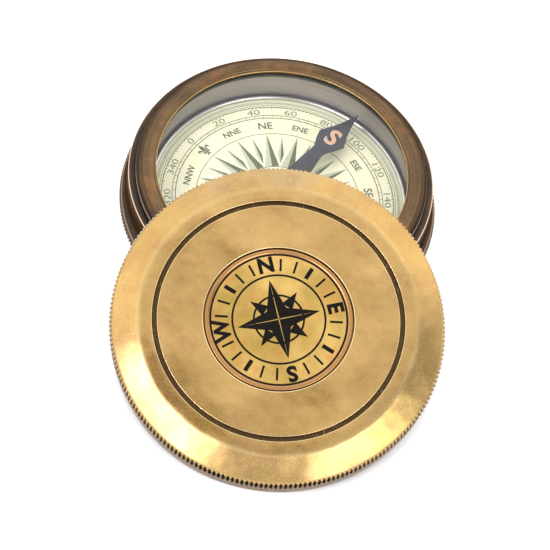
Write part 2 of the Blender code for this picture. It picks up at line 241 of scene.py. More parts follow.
class Nodes:
    """Writes a node tree. Each method adds a node and returns its output."""

    def __init__(self, tree):
        self.tree = tree

    def fill(self, socket, value):
        """Link an output to a socket, or set the socket's constant."""
        if isinstance(value, bpy.types.NodeSocket):
            self.tree.links.new(value, socket)
        elif hasattr(socket.default_value, "__len__") and not hasattr(value, "__len__"):
            socket.default_value = (value,) * len(socket.default_value)
        elif hasattr(value, "__len__") and len(value) == 3 and len(socket.default_value) == 4:
            socket.default_value = (*value, 1.0)
        else:
            socket.default_value = value

    def add(self, kind, inputs, output=0, **settings):
        """Add a node of a kind, with its inputs and settings, and return one of its outputs."""
        node = self.tree.nodes.new(kind)
        for name, value in settings.items():
            setattr(node, name, value)
        for name, value in inputs.items():
            self.fill(node.inputs[name], value)
        return node.outputs[output]

    def attribute(self, name, output):
        return self.add("ShaderNodeAttribute", {}, output, attribute_name=name)

    def place(self):
        """The point in the piece's own frame, in millimetres."""
        return self.attribute("local", "Vector")

    def number(self, name):
        """A number that the mesh holds at its points, such as wear, or dirt and painted shade."""
        return self.attribute(name, "Fac")

    def noise(self, where, scale, detail=2.0, roughness=0.5):
        """Noise whose patches are about 1 / scale wide, in the units of where."""
        inputs = {"Vector": where, "Scale": scale, "Detail": detail, "Roughness": roughness}
        return self.add("ShaderNodeTexNoise", inputs, "Fac")

    def object_noise(self, scale, roughness=0.5):
        """Noise on the object's own coordinates, which are in metres."""
        where = self.add("ShaderNodeTexCoord", {}, "Object")
        return self.noise(where, scale, 3.0, roughness)

    def math(self, operation, a, b=0.0):
        return self.add("ShaderNodeMath", {0: a, 1: b}, 0, operation=operation)

    def clamped(self, value):
        return self.math('MINIMUM', self.math('MAXIMUM', value, 0.0), 1.0)

    def span(self, value, low, high, to_low=0.0, to_high=1.0):
        """Stretch the range from low to high over the one from to_low to to_high, clamped."""
        inputs = {
            "Value": value,
            "From Min": low,
            "From Max": high,
            "To Min": to_low,
            "To Max": to_high,
        }
        return self.add("ShaderNodeMapRange", inputs, "Result")

    def mix(self, factor, a, b):
        """Mix two colours. The node's colour sockets are inputs 6 and 7 and output 2."""
        return self.add("ShaderNodeMix", {0: factor, 6: a, 7: b}, 2, data_type='RGBA')

    def vector_math(self, operation, a, b, output=0):
        return self.add("ShaderNodeVectorMath", {0: a, 1: b}, output, operation=operation)

    def parts(self, vector):
        split = self.tree.nodes.new("ShaderNodeSeparateXYZ")
        self.fill(split.inputs[0], vector)
        return split.outputs

    def radius(self):
        """Distance from the piece's axis, in millimetres."""
        x, y, _ = self.parts(self.place())
        flat = self.add("ShaderNodeCombineXYZ", {"X": x, "Y": y})
        return self.add("ShaderNodeVectorMath", {0: flat}, "Value", operation='LENGTH')

    def turned_place(self, across, around):
        """A place that changes fast across the turning marks and slowly round them."""
        x, y, z = self.parts(self.place())
        radius = self.math('MAXIMUM', self.radius(), 0.01)
        inputs = {
            "X": self.math('MULTIPLY', self.math('ADD', radius, z), across),
            "Y": self.math('MULTIPLY', self.math('DIVIDE', x, radius), around),
            "Z": self.math('MULTIPLY', self.math('DIVIDE', y, radius), around),
        }
        return self.add("ShaderNodeCombineXYZ", inputs)

    def bump(self, height, distance, strength=1.0, under=None):
        """A surface normal with relief of a height in millimetres, on top of another normal."""
        inputs = {"Strength": strength, "Distance": distance * MM, "Height": height}
        if under is not None:
            inputs["Normal"] = under
        return self.add("ShaderNodeBump", inputs)


class Shader(Nodes):
    """One material's node tree, with its Principled shader."""

    def __init__(self, name):
        self.material = bpy.data.materials.new(name)
        self.material.use_nodes = True
        super().__init__(self.material.node_tree)
        self.surface = self.tree.nodes["Principled BSDF"]

    def set(self, **values):
        for name, value in values.items():
            self.fill(self.surface.inputs[name.replace("_", " ").title()], value)


# ------------------------------------------------------------------- brasses

def brass_shade(s, fleck, grain, streaks, patches):
    """Where the brass lies between its deep shade, at 0, and its light one, at 1."""
    cloud = s.noise(s.place(), 0.09, 3.0, 0.6)
    streak = s.noise(s.turned_place(5.0, 1.2), 1.0, 3.0, 0.6)
    shade = s.span(cloud, 0.3, 0.7, 0.5 - patches, 0.5 + patches)
    shade = s.math('ADD', shade, s.span(fleck, 0.25, 0.75, -grain / 2, grain / 2))
    shade = s.math('ADD', shade, s.span(streak, 0.25, 0.75, -streaks / 2, streaks / 2))
    return s.clamped(shade)


def brass_stain(s, most):
    """How much tarnish lies on the brass, in ragged stains."""
    cloud = s.noise(s.vector_math('MULTIPLY', s.place(), (0.16, 0.16, 0.3)), 1.0, 5.0, 0.7)
    return s.span(cloud, 0.5, 0.72, 0.0, most)


def brass_wear(s, fleck, scratches):
    """How bare the metal is: on worn edges, and along fine scratches that come in patches."""
    wear = s.math('MULTIPLY', s.number("wear"), s.span(fleck, 0.2, 0.6, 0.75, 1.0))
    scratched = s.span(s.noise(s.place(), 0.13, 2.0), 0.5, 0.62, 0.0, scratches)
    for stretch, level in (((8.0, 0.35, 0.35), 0.71), ((0.5, 7.0, 0.4), 0.72)):
        lines = s.noise(s.vector_math('MULTIPLY', s.place(), stretch), 1.0, 1.0)
        line = s.span(lines, level, level + 0.03)
        wear = s.math('MAXIMUM', wear, s.math('MULTIPLY', line, scratched))
    return wear


def brass_relief(s, waves, streaks, grain):
    """The surface's normal: shallow swells and dents, then turning marks, then a fine skin."""
    dents = s.math('MULTIPLY', s.noise(s.place(), 0.2, 1.0), 0.16)
    swell = s.bump(s.math('ADD', s.noise(s.place(), 0.085, 0.0), dents), 1.0, waves)
    marks = s.bump(s.noise(s.turned_place(9.0, 0.8), 1.0, 2.0), 0.02, 0.25 * streaks, swell)
    return s.bump(s.noise(s.place(), 5.5, 2.0, 0.6), 0.03, 0.3 * grain, marks)


def brass(name, light, deep, tarnish, patina, worn, rough, grain, streaks, patches=0.35,
          stains=0.3, waves=0.3, scratches=0.5, edge_tint=WHITE):
    """Turned brass.

    Its shade runs from deep to light, in fine grain, turning streaks and broad patches. Over it
    lie stains of tarnish, patina where the mesh is dirty, and the worn colour where the mesh is
    worn and along scratches. waves is how strongly the surface swells.
    """
    s = Shader(name)
    fleck = s.noise(s.place(), 2.6, 3.0, 0.65)
    dirt = s.math('MULTIPLY', s.clamped(s.number("dirt")), s.span(fleck, 0.2, 0.6, 0.8, 1.0))
    wear = brass_wear(s, fleck, scratches)
    colour = s.mix(brass_shade(s, fleck, grain, streaks, patches), deep, light)
    colour = s.mix(brass_stain(s, stains), colour, tarnish)
    colour = s.mix(dirt, colour, patina)
    colour = s.mix(wear, colour, worn)
    roughness = s.span(fleck, 0.2, 0.8, rough * 0.85, rough * 1.2)
    roughness = s.math('ADD', roughness, s.math('MULTIPLY', dirt, 0.12))
    roughness = s.math('SUBTRACT', roughness, s.math('MULTIPLY', wear, rough * 0.35))
    s.set(base_color=colour, metallic=1.0, roughness=roughness, specular_tint=edge_tint)
    s.set(normal=brass_relief(s, waves, streaks, grain))
    return s.material


def lid_brass():
    """Mottled brass, bright on its edges and almost black in the groove and the knurls."""
    return brass(
        "tan brass",
        light=(0.60, 0.39, 0.155),
        deep=(0.45, 0.29, 0.105),
        tarnish=(0.44, 0.24, 0.11),
        patina=(0.05, 0.028, 0.014),
        worn=(0.95, 0.76, 0.42),
        rough=0.25,
        grain=0.75,
        streaks=0.18,
        stains=0.75,
        waves=0.9,
    )


def medallion_brass():
    """Smoother and yellower brass, with reddish tarnish."""
    return brass(
        "yellow brass",
        light=(0.68, 0.46, 0.15),
        deep=(0.44, 0.29, 0.075),
        tarnish=(0.60, 0.24, 0.07),
        patina=(0.42, 0.21, 0.09),
        worn=(0.95, 0.76, 0.40),
        rough=0.16,
        grain=0.3,
        streaks=0.15,
        patches=0.7,
        stains=0.7,
    )


def bezel_brass():
    """Dark brown brass with strong turning streaks."""
    return brass(
        "brown brass",
        light=(0.20, 0.125, 0.065),
        deep=(0.085, 0.06, 0.037),
        tarnish=(0.32, 0.14, 0.06),
        patina=(0.04, 0.03, 0.024),
        worn=(0.62, 0.42, 0.18),
        rough=0.25,
        grain=0.3,
        streaks=1.0,
        stains=0.8,
        scratches=0.12,
        edge_tint=(0.4, 0.34, 0.28),
    )


def case_brass():
    """Brass that has aged almost to black, bare on its edges."""
    return brass(
        "aged brass",
        light=(0.088, 0.066, 0.055),
        deep=(0.05, 0.04, 0.034),
        tarnish=(0.22, 0.12, 0.06),
        patina=(0.02, 0.017, 0.015),
        worn=(0.80, 0.55, 0.36),
        rough=0.28,
        grain=0.3,
        streaks=0.7,
        stains=0.4,
        scratches=0.06,
        edge_tint=(0.45, 0.4, 0.36),
    )


# ----------------------------------------------------------- other materials

def silver(name, low, high, painted_shade, rough):
    """Turned silver-coloured metal, darkened by painted shade where the mesh's dirt number is high.
    """
    s = Shader(name)
    streak = s.noise(s.turned_place(3.0, 1.0), 1.0, 3.0)
    cloud = s.noise(s.place(), 0.07, 2.0)
    colour = s.mix(s.span(streak, 0.3, 0.7), low, high)
    # Painted shade: the mesh's dirt number mixes the silver towards its darker colour.
    dirt = s.math('MULTIPLY', s.number("dirt"), s.span(cloud, 0.35, 0.65, 0.6, 1.0))
    fine = s.noise(s.place(), 1.5)
    s.set(base_color=s.mix(dirt, colour, painted_shade), metallic=1.0, normal=s.bump(streak, 0.02, 0.15))
    s.set(roughness=s.span(fine, 0.3, 0.7, rough * 0.85, rough * 1.15))
    return s.material


def satin_silver():
    return silver("satin silver", (0.40, 0.36, 0.38), (0.48, 0.44, 0.47), (0.22, 0.20, 0.20), 0.45)


def bright_silver():
    return silver("bright silver", (0.88, 0.88, 0.87), (0.95, 0.95, 0.94), (0.18, 0.175, 0.17), 0.2)


def card_paper():
    """Pale yellow-green card, a little mottled, with a paper tooth."""
    s = Shader("dial paper")
    cloud = s.noise(s.place(), 0.12, 3.0, 0.6)
    tooth = s.noise(s.place(), 6.0, 3.0, 0.6)
    colour = s.mix(s.span(cloud, 0.3, 0.7), (0.84, 0.815, 0.55), (0.875, 0.84, 0.64))
    colour = s.mix(s.span(tooth, 0.3, 0.8, 0.0, 0.1), colour, (0.62, 0.65, 0.44))
    s.set(base_color=colour, roughness=s.span(tooth, 0.3, 0.7, 0.6, 0.75))
    s.set(normal=s.bump(tooth, 0.02, 0.3))
    return s.material


def ink(name, colour, pale, rough):
    """Printed ink, paint or enamel that lets a little of the ground through."""
    s = Shader(name)
    s.surface.inputs["Specular IOR Level"].default_value = 0.1
    tooth = s.object_noise(2600.0, 0.6)
    s.set(base_color=s.mix(s.span(tooth, 0.35, 0.8), colour, pale))
    s.set(roughness=s.span(tooth, 0.3, 0.7, rough * 0.9, rough * 1.15))
    return s.material


def dial_inks():
    return {
        "dark": ink("dial ink", (0.10, 0.11, 0.07), (0.20, 0.22, 0.14), 0.6),
        "faded": ink("faded ink", (0.17, 0.19, 0.13), (0.28, 0.31, 0.21), 0.6),
        "grey": ink("grey ink", (0.47, 0.49, 0.36), (0.58, 0.60, 0.45), 0.6),
    }


def black_enamel():
    return ink("black enamel", (0.002, 0.0015, 0.0012), (0.006, 0.0045, 0.003), 0.5)


def orange_paint():
    return ink("orange paint", (0.60, 0.29, 0.16), (0.68, 0.39, 0.25), 0.5)


def pale_paint():
    return ink("pale paint", (0.6, 0.55, 0.5), (0.72, 0.66, 0.6), 0.5)


def slate_enamel():
    """Dark blue-grey finish of the needle's blade."""
    s = Shader("slate enamel")
    cloud = s.noise(s.place(), 0.5, 3.0)
    fine = s.noise(s.place(), 7.0, 2.0)
    colour = s.mix(s.span(cloud, 0.3, 0.7), (0.030, 0.032, 0.042), (0.050, 0.052, 0.066))
    s.set(base_color=colour, metallic=0.2, roughness=s.span(fine, 0.3, 0.7, 0.36, 0.48))
    s.set(normal=s.bump(fine, 0.01, 0.3))
    return s.material


def clear_glass():
    """Flat glass: it lets light straight through, and mirrors the room more at a low angle."""
    s = Shader("clear glass")
    clear = s.add("ShaderNodeBsdfTransparent", {"Color": (0.97, 0.97, 0.965)})
    mirror = s.add("ShaderNodeBsdfGlossy", {"Color": (0.5, 0.5, 0.5), "Roughness": 0.03})
    facing = s.add("ShaderNodeLayerWeight", {"Blend": 0.5}, "Facing")
    mirrored = s.span(s.math('POWER', facing, 5.0), 0.0, 1.0, 0.045, 1.0)
    both = s.add("ShaderNodeMixShader", {0: mirrored, 1: clear, 2: mirror})
    output = next(node for node in s.tree.nodes if node.type == 'OUTPUT_MATERIAL')
    s.tree.links.new(both, output.inputs["Surface"])
    s.tree.nodes.remove(s.surface)
    return s.material


def bright_steel():
    s = Shader("bright steel")
    streak = s.noise(s.turned_place(6.0, 1.0), 1.0, 2.0)
    s.set(base_color=s.mix(streak, (0.42, 0.42, 0.44), (0.6, 0.6, 0.62)), metallic=1.0)
    s.set(roughness=s.span(streak, 0.3, 0.7, 0.2, 0.3))
    return s.material


def grained(name, low, high, rough, metallic=0.0):
    """For small pieces inside the case: two shades in fine grain."""
    s = Shader(name)
    grain = s.object_noise(3000.0)
    s.set(base_color=s.mix(s.span(grain, 0.3, 0.7), low, high), metallic=metallic)
    s.set(roughness=s.span(grain, 0.3, 0.7, rough * 0.85, rough * 1.15))
    return s.material


def floor_material():
    s = Shader("studio floor")
    grain = s.object_noise(40.0)
    s.set(base_color=s.mix(grain, (0.86, 0.86, 0.87), (0.88, 0.88, 0.89)), roughness=0.85)
    return s.material


# ------------------------------------------------------------------ turning

def corner(radius, height, soft=0.0, wear=0.0, dirt=0.0):
    """A corner of a turned profile: how far it is rounded, how worn it is, and how much dirt
    darkens it, which on the silver pieces is painted shade.
    """
    return (radius, height, soft, wear, dirt)


def softened(corners, closed):
    """Round each corner with a short curve, and keep its wear close to it.

    Returns (radius, height, wear, dirt and painted shade) for each point.
    """
    count = len(corners)
    points = []
    for i, (radius, height, soft, wear, dirt) in enumerate(corners):
        is_end = not closed and i in (0, count - 1)
        if is_end or soft == 0.0:
            points.append((radius, height, wear, dirt))
            continue
        here = Vector((radius, height))
        before = Vector(corners[i - 1][:2]) - here
        after = Vector(corners[(i + 1) % count][:2]) - here
        start = here + before.normalized() * min(soft, before.length * CURVE_SHARE)
        stop = here + after.normalized() * min(soft, after.length * CURVE_SHARE)
        if before.length > soft * GUARD_ROOM:
            guard = here + before.normalized() * soft * GUARD_REACH
            points.append((guard.x, guard.y, 0.0, dirt))
        for step in range(CURVE_POINTS):
            t = step / (CURVE_POINTS - 1)
            p = start * (1 - t) ** 2 + here * 2 * t * (1 - t) + stop * t ** 2
            points.append((p.x, p.y, wear, dirt))
        if after.length > soft * GUARD_ROOM:
            guard = here + after.normalized() * soft * GUARD_REACH
            points.append((guard.x, guard.y, 0.0, dirt))
    return points


def turned_points(profile, steps, knurl):
    """Points in rows round Z, a row for each point of the profile, with the knurl cut in them.

    Returns the rows, as point numbers, and the points with their wear, and their dirt and painted
    shade.
    """
    rows, points, wear, dirt = [], [], [], []
    for radius, height, worn, point_dirt_and_shade in profile:
        depth = 0.0
        if knurl and knurl[0] < height < knurl[1] + KNURL_RUNOUT:
            depth = min(1.0, (knurl[1] + KNURL_RUNOUT - height) / (2 * KNURL_RUNOUT))
        row = []
        for k in range(1 if radius < ON_AXIS else steps):
            angle = 2 * pi * k / steps
            groove = depth * (k % 2)
            r = radius - KNURL_DEPTH * groove
            row.append(len(points))
            points.append((r * cos(angle), r * sin(angle), height))
            wear.append(worn)
            dirt.append(max(point_dirt_and_shade, KNURL_DIRT * groove))
        rows.append(row)
    return rows, points, wear, dirt


def faces_between(rows, steps, closed):
    """Faces that join each row to the next. A row on the axis is a single point."""
    pairs = list(zip(rows, rows[1:]))
    if closed:
        pairs.append((rows[-1], rows[0]))
    faces = []
    for upper, lower in pairs:
        for k in range(steps):
            n = (k + 1) % steps
            if len(upper) == 1:
                faces.append((upper[0], lower[k], lower[n]))
            elif len(lower) == 1:
                faces.append((upper[k], lower[0], upper[n]))
            else:
                faces.append((upper[k], lower[k], lower[n], upper[n]))
    return faces


def write_numbers(mesh, name, kind, values):
    """Keep numbers at the mesh's points for the materials to read."""
    layer = mesh.attributes.new(name, kind, 'POINT')
    field = "vector" if kind == 'FLOAT_VECTOR' else "value"
    flat = [n for value in values for n in value] if kind == 'FLOAT_VECTOR' else list(values)
    layer.data.foreach_set(field, flat)


def make_object(name, mesh, material, place=None):
    """A piece made of a mesh, which is first moved to its place."""
    if place is not None:
        mesh.transform(place)
    mesh.materials.append(material)
    piece = bpy.data.objects.new(name, mesh)
    bpy.context.scene.collection.objects.link(piece)
    return piece


def smooth_shaded(piece, sharp=40.0):
    """Shade a piece smooth, but for edges that turn by more than sharp degrees."""
    piece.data.shade_smooth()
    piece.data.set_sharp_from_angle(angle=radians(sharp))
    return piece


def lathe(name, corners, material, closed=False, steps=TURN_STEPS, knurl=None, place=None):
    """Turn a profile about Z. knurl is the (bottom, top) of a knurled band.

    A knurled piece has two steps to a tooth: its crest and the groove beside it.
    """
    if knurl:
        steps = KNURL_TEETH * 2
    rows, points, wear, dirt = turned_points(softened(corners, closed), steps, knurl)
    mesh = bpy.data.meshes.new(name)
    mesh.from_pydata([Vector(p) * MM for p in points], [], faces_between(rows, steps, closed))
    write_numbers(mesh, "local", 'FLOAT_VECTOR', points)
    write_numbers(mesh, "wear", 'FLOAT', wear)
    write_numbers(mesh, "dirt", 'FLOAT', dirt)
    return smooth_shaded(make_object(name, mesh, material, place))


def ridges(root, depth, top, turns, dirt):
    """Crests of a thread as turned ridges, listed downwards. depth is below 0 in a bore."""
    found = []
    for i in range(turns):
        root_height = top - THREAD_PITCH * i
        crest_height = top - THREAD_PITCH * (i + 0.5)
        found.append(corner(root, root_height, soft=0.08, dirt=dirt))
        found.append(corner(root + depth, crest_height, soft=0.1, wear=0.5, dirt=dirt * 0.5))
    found.append(corner(root, top - THREAD_PITCH * turns, soft=0.08, dirt=dirt))
    return found


# ------------------------------------------------------------------- prints

def at(bearing, radius):
    """The point at a bearing and a radius."""
    return (radius * sin(radians(bearing)), radius * cos(radians(bearing)))


def bar(bearing, inner, outer, width):
    """A radial tick."""
    ux, uy = at(bearing, 1.0)
    sx, sy = uy * width / 2, -ux * width / 2
    return [
        (ux * inner - sx, uy * inner - sy),
        (ux * outer - sx, uy * outer - sy),
        (ux * outer + sx, uy * outer + sy),
        (ux * inner + sx, uy * inner + sy),
    ]


def turned_outline(outline, bearing, radius):
    """Move an outline drawn upright at the origin out to a bearing, its up pointing outward."""
    c, s = cos(radians(bearing)), sin(radians(bearing))
    ox, oy = at(bearing, radius)
    return [(ox + x * c + y * s, oy - x * s + y * c) for x, y in outline]


def prisms(name, outlines, material, bottom, thickness=INK_THICKNESS, place=None):
    """Thin closed prisms on flat outlines, all in one mesh."""
    bm = bmesh.new()
    for outline in outlines:
        low = [bm.verts.new((x * MM, y * MM, bottom * MM)) for x, y in outline]
        top = [bm.verts.new((x * MM, y * MM, (bottom + thickness) * MM)) for x, y in outline]
        bm.faces.new(top)
        bm.faces.new(list(reversed(low)))
        for i in range(len(outline)):
            j = (i + 1) % len(outline)
            bm.faces.new((low[i], low[j], top[j], top[i]))
    bmesh.ops.recalc_face_normals(bm, faces=bm.faces)
    mesh = bpy.data.meshes.new(name)
    bm.to_mesh(mesh)
    bm.free()
    return make_object(name, mesh, material, place)


def circle_band(name, radius, width, material, bottom, place=None):
    """A printed circle, as a thin turned ring."""
    corners = [
        corner(radius - width / 2, bottom + INK_THICKNESS),
        corner(radius + width / 2, bottom + INK_THICKNESS),
        corner(radius + width / 2, bottom),
        corner(radius - width / 2, bottom),
    ]
    return lathe(name, corners, material, closed=True, place=place)


def mesh_of(curve):
    """The mesh that a curve makes. The curve is used up."""
    maker = bpy.data.objects.new("maker", curve)
    bpy.context.scene.collection.objects.link(maker)
    graph = bpy.context.evaluated_depsgraph_get()
    mesh = bpy.data.meshes.new_from_object(maker.evaluated_get(graph))
    bpy.data.objects.remove(maker)
    bpy.data.curves.remove(curve)
    return mesh


def welded(name, meshes, distance):
    """One mesh made of several, which are used up. Points closer than distance become one."""
    bm = bmesh.new()
    for mesh in meshes:
        bm.from_mesh(mesh)
        bpy.data.meshes.remove(mesh)
    bmesh.ops.remove_doubles(bm, verts=bm.verts, dist=distance)
    joined = bpy.data.meshes.new(name)
    bm.to_mesh(joined)
    bm.free()
    return joined


def word_mesh(text, size, bold):
    """A word as thin closed solids, centred on the origin."""
    curve = bpy.data.curves.new("word", 'FONT')
    curve.body = text
    curve.size = size * MM
    curve.align_x = 'CENTER'
    curve.align_y = 'CENTER'
    curve.offset = bold * MM
    curve.resolution_u = 4
    curve.extrude = INK_THICKNESS / 2 * MM
    return mesh_of(curve)


def lettering(name, words, material, bottom, place=None, bold=0.0, widening=1.0):
    """Words or figures in one mesh. words holds (text, bearing, radius, size)."""
    meshes = []
    for text, bearing, radius, size in words:
        mesh = word_mesh(text, size, bold)
        middle = Vector((*at(bearing, radius), bottom + INK_THICKNESS / 2)) * MM
        turn = Matrix.Rotation(-radians(bearing), 4, 'Z')
        widen = Matrix.Diagonal((widening, 1.0, 1.0, 1.0))
        mesh.transform(Matrix.Translation(middle) @ turn @ widen)
        meshes.append(mesh)
    return make_object(name, welded(name, meshes, WORD_WELD), material, place)


# --------------------------------------------------------------------- case

def settle(piece, body, node=None):
    """Let a piece ride a body, and stand for a CAD node where it does."""
    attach(piece, body)
    if node:
        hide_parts(node)
    return piece


def make_case(finish):
    """Turned cup: a knurled foot, a waist that flares down to it, a ledge and a threaded neck."""
    corners = [
        corner(0.0, STUD_HOLE_FLOOR),
        corner(STUD_HOLE, STUD_HOLE_FLOOR),
        corner(STUD_HOLE, FLOOR),
        corner(BORE, FLOOR, soft=0.2, dirt=0.5),
        corner(BORE, NECK_TOP, soft=0.15),
        *ridges(NECK, THREAD_DEPTH, NECK_TOP, 2, 0.75),
        corner(NECK, LEDGE, soft=0.1, dirt=1.0),
        corner(WAIST, LEDGE, soft=0.16, wear=1.0),
        corner(WAIST, CASE_KNURL_TOP + 4.0, soft=0.4, dirt=0.35),
        corner(WAIST + 0.12, CASE_KNURL_TOP + 2.4, soft=0.5, dirt=0.35),
        corner(WAIST + 0.5, CASE_KNURL_TOP + 1.1, soft=0.5, dirt=0.4),
        corner(OUTER - 0.45, CASE_KNURL_TOP + 0.35, soft=0.15, wear=0.3, dirt=0.3),
        corner(OUTER, CASE_KNURL_TOP, soft=0.1, wear=0.5, dirt=0.2),
        corner(OUTER, CASE_KNURL_TOP - 0.4, wear=0.2, dirt=0.2),
        corner(OUTER, CASE_LIP_TOP + 0.3, soft=0.12, wear=0.5, dirt=0.2),
        corner(LIP, CASE_LIP_TOP, soft=0.08, dirt=0.9),
        corner(LIP, 0.0, soft=0.25, wear=0.5, dirt=0.3),
        corner(0.0, 0.0),
    ]
    piece = lathe("case_shell", corners, finish, knurl=(CASE_LIP_TOP, CASE_KNURL_TOP))
    settle(piece, "case", "case_body")


def make_bezel(finish):
    """Crowned ring on top of the neck, with a thin skirt that screws into the bore."""
    skirt_outer = BORE - GAP
    skirt_inner = skirt_outer - SKIRT_THICKNESS
    corners = [
        corner(BEZEL_INNER, BEZEL_EDGE, soft=0.1, wear=0.4, dirt=0.2),
        corner(BEZEL_INNER + 0.9, BEZEL_CROWN - 0.1, soft=0.3),
        corner((BEZEL_INNER + NECK) / 2, BEZEL_CROWN, soft=0.5),
        corner(NECK - 0.7, BEZEL_EDGE + 0.22, soft=0.3, dirt=0.55),
        corner(NECK, BEZEL_EDGE - 0.25, soft=0.2, dirt=0.9),
        corner(NECK, BEZEL_UNDERSIDE, soft=0.13, wear=1.0),
        corner(skirt_outer, BEZEL_UNDERSIDE),
        corner(skirt_outer, SKIRT_BOTTOM),
        corner(skirt_inner, SKIRT_BOTTOM),
        corner(skirt_inner, BEZEL_UNDERSIDE),
        corner(BEZEL_INNER, BEZEL_UNDERSIDE),
    ]
    settle(lathe("bezel", corners, finish, closed=True), "case", "bezel_ring")


def make_retainer(finish):
    corners = [
        corner(RETAINER_INNER, BEZEL_EDGE, soft=0.1, wear=1.0),
        corner(RETAINER_OUTER, BEZEL_EDGE, soft=0.1),
        corner(RETAINER_OUTER, BEZEL_UNDERSIDE, soft=0.08),
        corner(RETAINER_INNER, BEZEL_UNDERSIDE, soft=0.08, dirt=0.5),
    ]
    piece = lathe("retainer", corners, finish, closed=True)
    settle(piece, "case", "glass_retainer")


def make_pane(glass):
    corners = [
        corner(0.0, GLASS_TOP),
        corner(GLASS_RADIUS, GLASS_TOP, soft=0.1),
        corner(GLASS_RADIUS, GLASS_BOTTOM, soft=0.1),
        corner(0.0, GLASS_BOTTOM),
    ]
    settle(lathe("pane", corners, glass), "case", "glass")


def make_sleeve(finish):
    """Wall between the dial and the glass, with painted shade that darkens it near its foot."""
    corners = [
        corner(SLEEVE_INNER, SLEEVE_TOP, soft=0.15),
        corner(SLEEVE_OUTER, SLEEVE_TOP, soft=0.1),
        corner(SLEEVE_OUTER, FLOOR + GAP, soft=0.1),
        # Painted shade: the wall's colour is darkened from its foot to a little above the card,
        # fading out higher up.
        corner(SLEEVE_INNER, FLOOR + GAP, soft=0.1, dirt=0.5),
        corner(SLEEVE_INNER, CARD_TOP + 1.7, dirt=0.5),
        corner(SLEEVE_INNER, CARD_TOP + 3.2),
    ]
    settle(lathe("sleeve", corners, finish, closed=True), "case", "inner_sleeve")


def make_dial_ring(finish):
    """Round bead that holds the card's edge down, with painted shade that darkens it towards its
    underside.
    """
    thick = (DIAL_RING_OUTER - DIAL_RING_INNER) / 2
    middle = DIAL_RING_INNER + thick
    centre = CARD_TOP + GAP + thick
    corners = []
    for k in range(DIAL_RING_STEPS):
        turn = 2 * pi * k / DIAL_RING_STEPS
        # Painted shade: the bead's colour grows darker towards its underside.
        dirt = min(1.0, max(0.0, 0.4 - sin(turn)))
        corners.append(corner(middle + thick * cos(turn), centre + thick * sin(turn), dirt=dirt))
    settle(lathe("bead_ring", corners, finish, closed=True), "case", "dial_ring")


# --------------------------------------------------------------------- dial

def make_card(paper):
    corners = [
        corner(CARD_HOLE, CARD_TOP),
        corner(CARD_RADIUS, CARD_TOP, soft=0.03),
        corner(CARD_RADIUS, CARD_TOP - CARD_THICKNESS, soft=0.03),
        corner(CARD_HOLE, CARD_TOP - CARD_THICKNESS),
    ]
    settle(lathe("card", corners, paper, closed=True), "case", "dial_card")


def make_dial_scales(inks):
    """Circles, a tick every 2 degrees and one every 5 inside, and a figure every 20."""
    for name, radius, width, colour in DIAL_CIRCLES:
        settle(circle_band("circle_" + name, radius, width, inks[colour], DIAL_PRINT), "case")
    ticks = []
    for degree in range(0, 360, 2):
        inner = LONG_TICK_INNER if degree % 10 == 0 else TICK_INNER
        ticks.append(bar(DIAL_NORTH + degree, inner, TICK_OUTER, TICK_WIDTH))
    for degree in range(0, 360, 5):
        bearing = DIAL_NORTH + degree
        ticks.append(bar(bearing, BAND_TICK_INNER, BAND_TICK_OUTER, BAND_TICK_WIDTH))
    settle(prisms("ticks", ticks, inks["dark"], DIAL_PRINT), "case")
    figures = [
        (str(degree), DIAL_NORTH + degree, FIGURE_RADIUS, FIGURE_SIZE)
        for degree in range(0, 360, 20)
    ]
    piece = lettering("figures", figures, inks["faded"], DIAL_PRINT, widening=FIGURE_WIDENING)
    settle(piece, "case")


def make_point_names(dark):
    words = []
    for i, name in enumerate(POINT_NAMES, start=1):
        size = POINT_NAME_SIZES[len(name)]
        words.append((name, DIAL_NORTH + 22.5 * i, POINT_NAME_RADIUS, size))
    settle(lettering("points", words, dark, DIAL_PRINT, bold=0.05), "case")


def fleur():
    """Outlines of a fleur-de-lis drawn upright, 4 high, centred on the origin."""
    petal = [(0.0, 2.1), (0.32, 1.45), (0.5, 0.8), (0.42, 0.2), (0.18, -0.5), (0.0, -0.6)]
    middle = petal + [(-x, y) for x, y in reversed(petal[1:-1])]
    wing = [
        (0.28, -0.55), (0.62, 0.25), (1.0, 0.85), (1.45, 0.95), (1.72, 0.6), (1.66, 0.1),
        (1.38, -0.12), (1.42, 0.3), (1.2, 0.45), (0.95, 0.1), (0.7, -0.55),
    ]
    left = [(-x, y) for x, y in reversed(wing)]
    band = [(-1.0, -0.62), (1.0, -0.62), (1.0, -0.95), (-1.0, -0.95)]
    foot = [(-0.22, -1.0), (0.22, -1.0), (0.62, -1.75), (0.0, -1.5), (-0.62, -1.75)]
    return [middle, wing, left, band, foot]


def make_north_mark(dark):
    outlines = [turned_outline(part, DIAL_NORTH, FLEUR_RADIUS) for part in fleur()]
    settle(prisms("fleur", outlines, dark, DIAL_PRINT), "case")


def half_point(bearing, foot, widest, tip, half):
    """Half of a rose point, to the right of its middle line, or to the left if half is below 0."""
    shoulder = turned_outline([(half, 0.0)], bearing, widest)[0]
    return [at(bearing, foot), at(bearing, tip), shoulder]


def make_rose(dark, grey):
    """Long and short points in turn, each with a dark right half and a grey left half."""
    right_halves, left_halves = [], []
    for i in range(ROSE_POINTS):
        bearing = DIAL_NORTH + 360.0 / ROSE_POINTS * i
        foot, widest, tip, half = ROSE_LONG_POINT if i % 2 == 0 else ROSE_SHORT_POINT
        right_halves.append(half_point(bearing, foot, widest, tip, half))
        left_halves.append(half_point(bearing, foot, widest, tip, -half))
    settle(prisms("rose", right_halves, dark, DIAL_PRINT), "case")
    settle(prisms("rose_pale", left_halves, grey, DIAL_PRINT), "case")


# ------------------------------------------------------------------- needle

